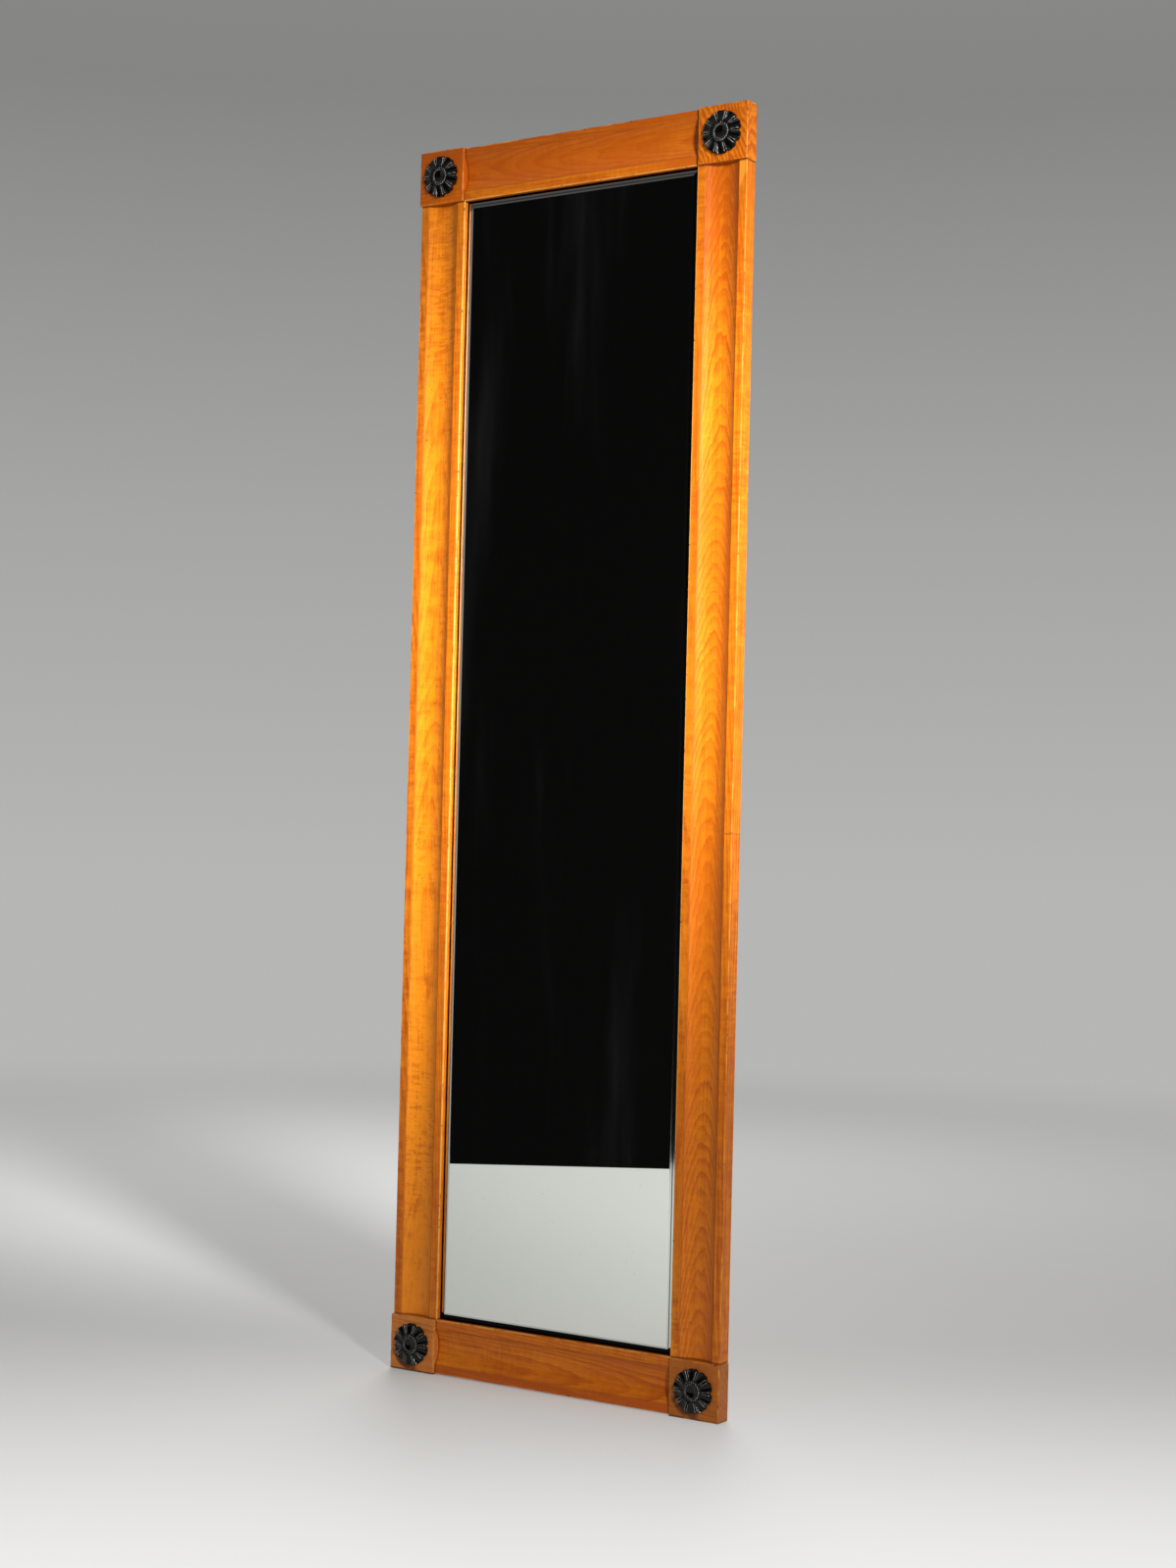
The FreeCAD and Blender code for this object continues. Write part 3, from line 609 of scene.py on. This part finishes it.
def rosetteMesh(cut):
    count = cut["stepsRound"]
    turn = np.arange(count) * 2 * math.pi / count
    rings = rosetteRings(cut, turn)
    verts = [(0.0, 0.0, cut["dish"])]
    wearAndGlint = [0.0]
    for radius, high, wornAndGlint in rings:
        verts += list(zip(radius * np.sin(turn), radius * np.cos(turn), high))
        wearAndGlint += list(wornAndGlint)
    faces = [(0, 1 + k, 1 + (k + 1) % count) for k in range(count)]
    for i in range(len(rings) - 1):
        low, high = 1 + i * count, 1 + (i + 1) * count
        faces += [(low + k, high + k, high + (k + 1) % count, low + (k + 1) % count) for k in range(count)]
    last = 1 + (len(rings) - 1) * count
    faces.append(tuple(last + k for k in range(count)))
    mesh = bpy.data.meshes.new("rosetteCarving")
    mesh.from_pydata([(x / perMetre, -h / perMetre, y / perMetre) for x, y, h in verts], [], faces)
    mesh.attributes.new("wornEdge", "FLOAT", "POINT").data.foreach_set("value", np.array(wearAndGlint, np.float32))
    mesh.polygons.foreach_set("use_smooth", [True] * len(mesh.polygons))
    mesh.update()
    return mesh


blackLook = {
    "plain": {"Roughness": 0.14, "Coat Weight": 0.10, "Coat Roughness": 0.04, "Specular IOR Level": 0.25},
    # the pale ridge colour is rubbed polish and painted highlight on ridges and collar beads
    "black": (0.0020, 0.0019, 0.0018), "rubbedAndGlint": (0.480, 0.455, 0.410), "dust": (0.020, 0.018, 0.015),
    "patch": {"waves": (210.0, 210.0, 210.0), "seed": 3.0, "detail": 3.0},
    "fine": {"waves": (900.0, 900.0, 900.0), "seed": 7.0, "detail": 3.0},
    "rubAndGlintFrom": (0.52, 1.0), "rubAndGlintPatch": (0.36, 0.62), "rubAndGlintLeast": 0.35, "rubAndGlintMore": 0.65, "rubAndGlintShow": 0.85,
    "dustFrom": (0.30, 1.0), "dustLeast": 0.4, "dustMore": 0.6, "dustShow": 0.22,
    "rough": {"least": 0.05, "fine": 0.05, "dust": 0.18, "rubbedAndGlint": 0.10},
    "relief": {"fine": 0.3, "high": 0.00060, "strength": 0.7},
}


def ebonised(name, look):
    finish, shader, place = newFinish(name, look["plain"])
    wornAndGlint = place.node("ShaderNodeAttribute", {"attribute_name": "wornEdge"}, {}, "Fac")
    patch = noise(place, look["patch"])
    fine = noise(place, look["fine"])
    # ridges and beads lighten: rubbed polish and painted highlight
    rubAndGlintPatch = look["rubAndGlintLeast"] + ease(patch, *look["rubAndGlintPatch"]) * look["rubAndGlintMore"]
    rubbedAndGlint = ease(wornAndGlint, *look["rubAndGlintFrom"]) * rubAndGlintPatch
    dust = ease(0.0 - wornAndGlint, *look["dustFrom"]) * (look["dustLeast"] + patch * look["dustMore"])
    colour = mixed(rubbedAndGlint * look["rubAndGlintShow"], look["black"], look["rubbedAndGlint"])
    colour = mixed(dust * look["dustShow"], colour, look["dust"])
    rough, relief = look["rough"], look["relief"]
    wire(shader, "Base Color", colour)
    dull = rough["least"] + fine * rough["fine"] + dust * rough["dust"]
    wire(shader, "Roughness", dull + rubbedAndGlint * rough["rubbedAndGlint"])
    bump(shader, fine * relief["fine"] + patch, relief["high"], relief["strength"])
    return finish


blackFinish = ebonised("ebonisedPolish", blackLook)
carving = rosetteMesh(rosetteCut)
carving.materials.append(blackFinish)
for corner in blockWoods:
    low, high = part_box("block_" + corner)
    rosette = linked("rosette." + corner, carving)
    rosette.location = ((low.x + high.x) / 2, low.y, (low.z + high.z) / 2)
    dress("rosette_" + corner, blackFinish)
    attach(rosette, "frame")
    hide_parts("rosette_" + corner)
print("rosettes carved:", len(carving.vertices), "points each")


# Mirror plate: silvered, clear, with faint wipe marks, reaches in metres from the sight edge
plateLook = {
    "plain": {"Metallic": 1.0, "Roughness": 0.012, "Specular IOR Level": 0.5},
    "silver": (0.80, 0.830, 0.785), "spot": (0.30, 0.31, 0.29), "ground": (0.24, 0.245, 0.24),
    "line": (0.05, 0.05, 0.05), "edge": (0.006, 0.006, 0.006),
    "wipe": {"waves": (9.0, 9.0, 3.0), "seed": 2.0, "detail": 4.0, "rough": 0.6, "step": (0.55, 0.85)},
    "flecks": {"waves": (330.0, 330.0, 330.0), "seed": 9.0, "detail": 1.0, "step": (0.77, 0.82)},
    "fleckShow": 0.6, "bevel": 0.0125, "bevelSoft": 0.0002, "bevelShow": 0.25, "bevelTopShow": 0.75,
    "bevelTop": (0.020, 0.012), "bevelLine": 0.0086, "lineWide": (0.0013, 0.0008), "lineShow": 0.85,
    "arrisIn": (0.0016, 0.0003), "arrisOut": (-0.0004, 0.0001),
    "edgeReach": (0.0044, 0.0034), "footReach": (0.014, 0.010), "footMore": 0.0055,
    "rough": {"least": 0.006, "wipe": 0.05, "fleck": 0.06, "bevel": 0.05, "arris": 0.12},
}
sight = {"halfWide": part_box("right_stile_sight_strip")[0].x, "low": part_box("bottom_rail_sight_strip")[1].z,
         "high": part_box("top_rail_sight_strip")[0].z}


def silvered(name, look):
    finish, shader, place = newFinish(name, look["plain"])
    fleck = noise(place, look["flecks"])
    x, _, z = split(place)
    fromFoot = z - sight["low"]
    inside = fromFoot.least(sight["halfWide"] - abs(x)).least(sight["high"] - z)
    bevel = ease(inside, look["bevel"] + look["bevelSoft"], look["bevel"] - look["bevelSoft"])
    between = ease(abs(inside - look["bevelLine"]), *look["lineWide"])  # a painted dark line splits the bevel's reflection into a double line
    arris = ease(inside - look["bevel"], *look["arrisIn"]) * ease(inside - look["bevel"], *look["arrisOut"])
    # painted shade: a dark band along the sight edge, wider at the foot, for the reflection of the unlit
    # rebate
    edge = ease(inside - ease(fromFoot, *look["footReach"]) * look["footMore"], *look["edgeReach"])
    atTop = ease(z, *[sight["high"] - reach for reach in look["bevelTop"]])
    colour = mixed(fleck * look["fleckShow"], look["silver"], look["spot"])
    colour = mixed(bevel * (look["bevelShow"] + atTop * look["bevelTopShow"]), colour, look["ground"])
    colour = mixed(between * look["lineShow"], colour, look["line"])
    colour = mixed(edge, colour, look["edge"])
    rough = look["rough"]
    wire(shader, "Base Color", colour)
    dull = rough["least"] + noise(place, look["wipe"]) * rough["wipe"] + fleck * rough["fleck"]
    wire(shader, "Roughness", dull + bevel * rough["bevel"] + arris * rough["arris"])
    return finish


dress("mirror_plate", silvered("silveredPlate", plateLook))


# Back: aged softwood and forged iron
softwoodLook = {
    "plain": {"Roughness": 0.72, "Specular IOR Level": 0.25},
    "tones": {"light": (0.60, 0.335, 0.118), "dark": (0.33, 0.150, 0.044), "grime": (0.15, 0.085, 0.040),
              "knot": (0.20, 0.078, 0.026), "bark": (0.07, 0.028, 0.012)},
    "grain": {
        "drift": {"waves": (3.0, 3.0, 0.9), "seed": 0.0},
        "uneven": {"waves": (26.0, 26.0, 0.7), "seed": 15.0},
        "fibre": {"waves": (520.0, 520.0, 8.0), "seed": 3.0, "detail": 4.0, "rough": 0.7},
        "tint": {"waves": (11.0, 11.0, 1.4), "seed": 19.0},
        "grime": {"waves": (6.0, 6.0, 3.0), "seed": 7.0, "detail": 5.0, "rough": 0.65, "step": (0.46, 0.86)},
        "planing": {"waves": (55.0, 55.0, 2.0), "seed": 11.0, "detail": 1.0},
    },
    "rings": {"wide": 0.0085, "drift": 0.12, "uneven": 0.022, "cut": 0.3, "curve": 2.2, "edge": (1.0, 0.84)},
    "knots": {"across": 7.0, "along": 4.6, "shift": 0.7, "spread": 0.95, "pick": (0.66, 0.68),
              "swell": (0.46, 0.02), "part": 0.115, "ragged": 0.02, "bark": (0.086, 0.066),
              "heart": (0.070, 0.050), "lines": 75.0, "lineShow": 0.6},
    "show": {"rings": 0.80, "fibre": 1.25, "tint": 0.5, "grime": 0.40},
    "rough": {"least": 0.62, "fibre": 0.2},
    "relief": {"fibre": 0.5, "rings": 0.25, "high": 0.0006, "strength": 0.6},
    "aged": {"member": 0.30, "lower": 0.30, "middle": 0.04, "upper": 0.16},
    "seed": 4.0, "seedPerMember": 7.0, "boardSeed": 40.0, "seedPerBoard": 9.0,
}


def softwood(name, lie, seed, aged):
    finish, shader, place = newFinish(name, softwoodLook["plain"])
    across, depth, along, spot = boardPlace(place, lie)
    tones, ringCut, knots = softwoodLook["tones"], softwoodLook["rings"], softwoodLook["knots"]
    show, matt, relief = softwoodLook["show"], softwoodLook["rough"], softwoodLook["relief"]

    def grain(key):
        return noise(spot, softwoodLook["grain"][key], seed)

    # rings part round the few knots
    cellAcross = across * knots["across"] + seed
    cells = place.node("ShaderNodeCombineXYZ", {},
                       {0: cellAcross, 1: along * knots["along"] + seed * knots["shift"]})
    knotGap = spot.node("ShaderNodeTexVoronoi", {"voronoi_dimensions": "2D"},
                        {"Vector": cells, "Scale": 1.0, "Randomness": knots["spread"]})
    knotSide = cellAcross - split(knotGap.other("Position"))[0]
    knotPick = ease(split(knotGap.other("Color"))[0], *knots["pick"])
    swell = ease(knotGap, *knots["swell"]) * knotPick
    rings = across - knotSide * swell * knots["part"] + (grain("drift") - 0.5) * ringCut["drift"]
    rings = rings + (grain("uneven") - 0.5) * ringCut["uneven"] + depth * ringCut["cut"]
    inRing = (rings / ringCut["wide"]).fract()
    fibre = grain("fibre")
    late = inRing ** ringCut["curve"] * ease(inRing, *ringCut["edge"])
    tone = late * show["rings"] + (fibre - 0.5) * show["fibre"] + (grain("tint") - 0.5) * show["tint"] + aged
    colour = mixed(tone, tones["light"], tones["dark"])
    ragged = knotGap + (fibre - 0.5) * knots["ragged"]
    colour = mixed(ease(ragged, *knots["bark"]) * knotPick, colour, tones["bark"])
    knotLines = (ragged * knots["lines"]).fract()
    heartwood = mixed(knotLines * knots["lineShow"], tones["knot"], tones["bark"])
    colour = mixed(ease(ragged, *knots["heart"]) * knotPick, colour, heartwood)
    colour = mixed(grain("grime") * show["grime"], colour, tones["grime"])
    wire(shader, "Base Color", colour)
    wire(shader, "Roughness", matt["least"] + fibre * matt["fibre"])
    height = fibre * relief["fibre"] - inRing * relief["rings"] + grain("planing")
    bump(shader, height, relief["high"], relief["strength"])
    return finish


for count, member in enumerate(coveWoods):
    seed = softwoodLook["seed"] + softwoodLook["seedPerMember"] * count
    timber = softwood("softwood." + member, lieOf(member), seed, softwoodLook["aged"]["member"])
    dress(member + "_core", timber)
    dress("glazing_strip_" + member, timber)
for count, board in enumerate(("lower", "middle", "upper")):
    seed = softwoodLook["boardSeed"] + softwoodLook["seedPerBoard"] * count
    timber = softwood("softwoodBoard." + board, "level", seed, softwoodLook["aged"][board])
    dress("back_board_" + board, timber)

ironLook = {
    "plain": {"Metallic": 0.75, "Roughness": 0.55, "Specular IOR Level": 0.4},
    "dark": (0.060, 0.056, 0.054), "bright": (0.150, 0.140, 0.132), "rust": (0.165, 0.062, 0.024),
    "hammer": {"waves": (160.0, 160.0, 160.0), "seed": 2.0, "detail": 3.0},
    "rusting": {"waves": (420.0, 420.0, 420.0), "seed": 5.0, "detail": 4.0, "rough": 0.65,
                "step": (0.50, 0.66)},
    "rough": {"least": 0.42, "hammer": 0.15, "rust": 0.28},
    "metal": 0.85, "metalLost": 0.7, "highRust": 0.4, "high": 0.0005, "strength": 0.6,
    "strapRust": 0.6, "nailRust": 1.0,
}


def forgedIron(name, look, rusting):
    finish, shader, place = newFinish(name, look["plain"])
    hammer = noise(place, look["hammer"])
    rust = noise(place, look["rusting"]) * rusting
    rough = look["rough"]
    wire(shader, "Base Color", mixed(rust, mixed(hammer, look["dark"], look["bright"]), look["rust"]))
    wire(shader, "Roughness", rough["least"] + hammer * rough["hammer"] + rust * rough["rust"])
    wire(shader, "Metallic", look["metal"] - rust * look["metalLost"])
    bump(shader, hammer + rust * look["highRust"], look["high"], look["strength"])
    return finish


iron = forgedIron("forgedIron", ironLook, ironLook["strapRust"])
rustyIron = forgedIron("rustyNails", ironLook, ironLook["nailRust"])
for side in ("left", "right"):
    dress("hanger_strap_" + side, iron)
    dress("hanger_ring_" + side, iron)
dress("hanger_nails", iron)
dress("back_board_nails", rustyIron)
print("plate, back and iron done")


# Floor, and the dark cloth that only reflections see: painted shade for the glass and the polish to reflect
def sheet(name, corners):
    mesh = bpy.data.meshes.new(name)
    mesh.from_pydata(corners, [], [tuple(range(len(corners)))])
    made = linked(name, mesh)
    return made


floorLook = {
    "plain": {"Roughness": 0.5, "Specular IOR Level": 0.12},
    "radius": 16.0, "sides": 64, "level": -0.0006, "fade": (1.6, 6.5),
    "colour": (0.80, 0.80, 0.785), "scuffed": (0.66, 0.66, 0.645), "scuffShow": 0.25,
    "scuff": {"waves": (1.6, 1.6, 1.6), "seed": 4.0, "detail": 5.0, "rough": 0.6},
    "rough": 0.46, "roughScuff": 0.10,
    "glow": (0.97, 0.965, 0.945), "front": (0.5635, -0.8258, 0.0), "near": (-0.6, 1.5),
    "glowLeast": 0.08, "glowNear": 0.78,
}
floorEdge = []
for k in range(floorLook["sides"]):
    turn = 2 * math.pi * k / floorLook["sides"]
    radius = floorLook["radius"]
    floorEdge.append((radius * math.cos(turn), radius * math.sin(turn), floorLook["level"]))
floor = sheet("floor", floorEdge)
floorFinish, floorShader, floorPlace = newFinish("paleFloor", floorLook["plain"])
scuff = noise(floorPlace, floorLook["scuff"])
floorColour = mixed(scuff * floorLook["scuffShow"], floorLook["colour"], floorLook["scuffed"])
wire(floorShader, "Base Color", floorColour)
wire(floorShader, "Roughness", floorLook["rough"] + scuff * floorLook["roughScuff"])
# seen by the camera and the glass, it glows a little in front and fades out far away
toFront = floorPlace.node("ShaderNodeVectorMath", {"operation": "DOT_PRODUCT"},
                          {0: floorPlace, 1: floorLook["front"]}, "Value")
near = ease(toFront, *floorLook["near"])
glow = floorPlace.node("ShaderNodeEmission", {}, {"Color": rgba(floorLook["glow"]), "Strength": 1.0})
glowing = seenRays(floorPlace) * (floorLook["glowLeast"] + near * floorLook["glowNear"])
plainFloor = Sock(floorFinish.node_tree, floorShader.outputs[0])
lit = floorPlace.node("ShaderNodeMixShader", {}, {0: glowing, 1: plainFloor, 2: glow})
away = floorPlace.node("ShaderNodeVectorMath", {"operation": "LENGTH"}, {0: floorPlace}, "Value")
clear = floorPlace.node("ShaderNodeBsdfTransparent")
faded = floorPlace.node("ShaderNodeMixShader", {}, {0: ease(away, *floorLook["fade"]), 1: lit, 2: clear})
wire(floorFinish.node_tree.nodes["Material Output"], "Surface", faded)
floor.data.materials.append(floorFinish)

clothLook = {
    "plain": {"Roughness": 0.9, "Specular IOR Level": 0.1},
    "foot": (-1.64, -2.41, 0.0), "facing": 34.3, "toLeft": 0.62, "toRight": 9.0,
    "leftHigh": 2.9, "rightHigh": 6.0,
    "black": (0.0015, 0.0015, 0.0015), "fold": (0.024, 0.024, 0.026),
    "folds": {"waves": (5.0, 5.0, 0.5), "seed": 6.0, "detail": 4.0, "rough": 0.6, "step": (0.50, 0.80)},
}
facing = math.radians(clothLook["facing"])
clothSide = Vector((math.cos(facing), -math.sin(facing), 0.0))
left = Vector(clothLook["foot"]) - clothSide * clothLook["toLeft"]
right = Vector(clothLook["foot"]) + clothSide * clothLook["toRight"]
reflectionOnlyDarkCloth = sheet("reflectionOnlyDarkCloth", [left, right, right + Vector((0, 0, clothLook["rightHigh"])),
                                left + Vector((0, 0, clothLook["leftHigh"]))])
clothFinish, clothShader, clothPlace = newFinish("reflectionOnlyBlackCloth", clothLook["plain"])
folds = noise(clothPlace, clothLook["folds"])
wire(clothShader, "Base Color", mixed(folds, clothLook["black"], clothLook["fold"]))
reflectionOnlyDarkCloth.data.materials.append(clothFinish)
reflectionOnlyDarkCloth.visible_camera = False
reflectionOnlyDarkCloth.visible_diffuse = False
reflectionOnlyDarkCloth.visible_shadow = False
print("floor and cloth laid")


# Camera, turned and tilted in degrees
view = {"place": (2.41388, -3.47487, 0.91782), "heading": 34.3067, "tilt": 1.2221, "roll": 1.3824,
        "lens": 58.503, "sensor": 36.0}
turned = Matrix.Rotation(math.radians(view["heading"]), 4, "Z")
turned = turned @ Matrix.Rotation(math.radians(90 + view["tilt"]), 4, "X")
turned = turned @ Matrix.Rotation(math.radians(view["roll"]), 4, "Z")
cameraData = bpy.data.cameras.new("camera")
cameraData.lens = view["lens"]
cameraData.sensor_width = view["sensor"]
camera = linked("camera", cameraData)
camera.matrix_world = Matrix.Translation(view["place"]) @ turned
bpy.context.scene.camera = camera

# Light: a spot from the upper right, a weak fill below it, and a wide lamp behind
lampLook = {
    "key": {"kind": "SPOT", "place": (3.25, -2.15, 2.70), "aim": (0.0, 0.0, 1.34), "size": 0.30,
            "watts": 1850.0, "cone": 22.5, "blend": 1.0},
    "fill": {"kind": "AREA", "place": (3.4, -2.6, 1.7), "aim": (0.0, 0.0, 0.60), "size": 0.35, "watts": 84.0},
    "back": {"kind": "AREA", "place": (-2.2, 3.4, 3.0), "aim": (0.0, 0.0, 1.1), "size": 2.4, "watts": 70.0},
}
for name, look in lampLook.items():
    lampData = bpy.data.lights.new(name, look["kind"])
    if look["kind"] == "SPOT":
        lampData.spot_size = math.radians(look["cone"])
        lampData.spot_blend = look["blend"]
        lampData.shadow_soft_size = look["size"]
    else:
        lampData.shape = "DISK"
        lampData.size = look["size"]
    lampData.energy = look["watts"]
    lamp = linked(name, lampData)
    lamp.location = look["place"]
    toAim = Vector(look["aim"]) - Vector(look["place"])
    lamp.rotation_euler = toAim.to_track_quat("-Z", "Y").to_euler()

# Surround: grey from low to high for the camera and the glass, one even grey for the light on the pieces
surroundLook = {
    "even": (0.22, 0.22, 0.22),
    "seen": ((0.0, (0.50, 0.50, 0.49)), (0.49, (0.47, 0.47, 0.46)), (0.56, (0.38, 0.38, 0.375)),
             (0.64, (0.235, 0.235, 0.232)), (1.0, (0.42, 0.42, 0.42))),
}
world = bpy.data.worlds.new("greySurround")
bpy.context.scene.world = world
world.use_nodes = True
around = Sock(world.node_tree).node("ShaderNodeTexCoord", out="Generated")
greys = around.node("ShaderNodeValToRGB", {"stops": surroundLook["seen"]}, {0: split(around)[2] * 0.5 + 0.5})
background = world.node_tree.nodes["Background"]
wire(background, "Color", mixed(seenRays(around), surroundLook["even"], greys))
background.inputs["Strength"].default_value = 1.0
print("camera and lamps placed")

bpy.context.scene.view_settings.view_transform = "Standard"
print("scene ready")
